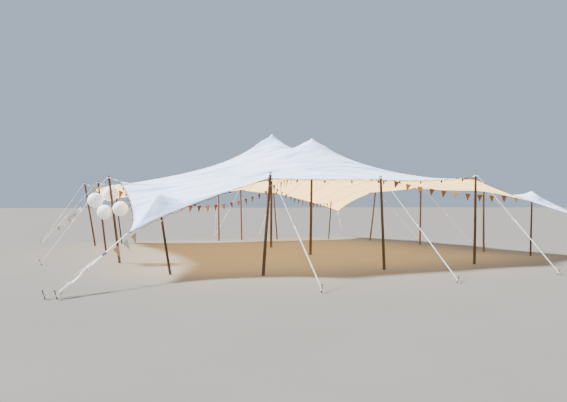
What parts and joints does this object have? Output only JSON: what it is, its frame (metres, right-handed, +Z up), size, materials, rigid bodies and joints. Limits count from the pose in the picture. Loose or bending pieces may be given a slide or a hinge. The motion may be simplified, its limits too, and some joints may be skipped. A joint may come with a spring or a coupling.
{
  "type": "stretch tent",
  "caption": "Stretched fabric canopy over king poles and leaning perimeter poles, held by taut guy ropes and corner straps to ground stakes.",
  "frame": {"origin": "middle of the footprint, at the bottom, on the ground", "axes": "+X along the open front from left to right, +Y from the front to the rear, +Z up"},
  "size_m": [22.9988, 24.9164, 5.905],
  "materials": {
    "canvas": "white stretch fabric, cream inside",
    "timber": "orange-brown round timber, weathered",
    "rope": "white braided rope",
    "strap": "white woven webbing",
    "steel": "weathered steel",
    "paper": "white paper lantern",
    "cable": "dark lamp cable",
    "bunting": "cotton flags on a white line"
  },
  "bodies": {
    "root": {"canopy": "canvas", "king_pole_rear": "timber", "king_pole_front": "timber", "corner_prop_front_left": "timber", "corner_prop_front_right": "timber", "corner_prop_rear_right": "timber", "corner_prop_rear_left": "timber", "front_left_pole": "timber", "front_middle_pole": "timber", "front_right_pole": "timber", "left_front_pole": "timber", "left_middle_pole": "timber", "left_rear_pole": "timber", "right_front_pole": "timber", "right_middle_pole": "timber", "right_rear_pole": "timber", "rear_left_pole": "timber", "rear_middle_pole": "timber", "rear_right_pole": "timber", "front_left_guy_rope": "rope", "front_middle_guy_rope": "rope", "front_right_guy_rope": "rope", "left_front_guy_rope": "rope", "left_middle_guy_rope": "rope", "left_rear_guy_rope": "rope", "right_front_guy_rope": "rope", "right_middle_guy_rope": "rope", "right_rear_guy_rope": "rope", "rear_left_guy_rope": "rope", "rear_middle_guy_rope": "rope", "rear_right_guy_rope": "rope", "corner_strap_front_left": "strap", "corner_strap_front_right": "strap", "corner_strap_rear_right": "strap", "corner_strap_rear_left": "strap", "stake_front_left": "steel", "stake_front_middle": "steel", "stake_front_right": "steel", "stake_left_front": "steel", "stake_left_rear": "steel", "stake_right_front": "steel", "stake_right_middle": "steel", "stake_right_rear": "steel", "stake_rear_left": "steel", "stake_rear_right": "steel", "stake_corner_front_left": "steel", "stake_corner_front_left_outer": "steel", "stake_corner_front_right": "steel", "stake_corner_rear_right": "steel", "stake_corner_rear_left": "steel", "lantern_outer": "paper", "lantern_low": "paper", "lantern_inner": "paper", "lantern_behind": "paper", "festoon_cable_left": "cable", "festoon_cable_front": "cable", "bunting_front": "bunting", "bunting_right": "bunting", "bunting_left": "bunting", "bunting_rear": "bunting"}
  },
  "joints": []
}
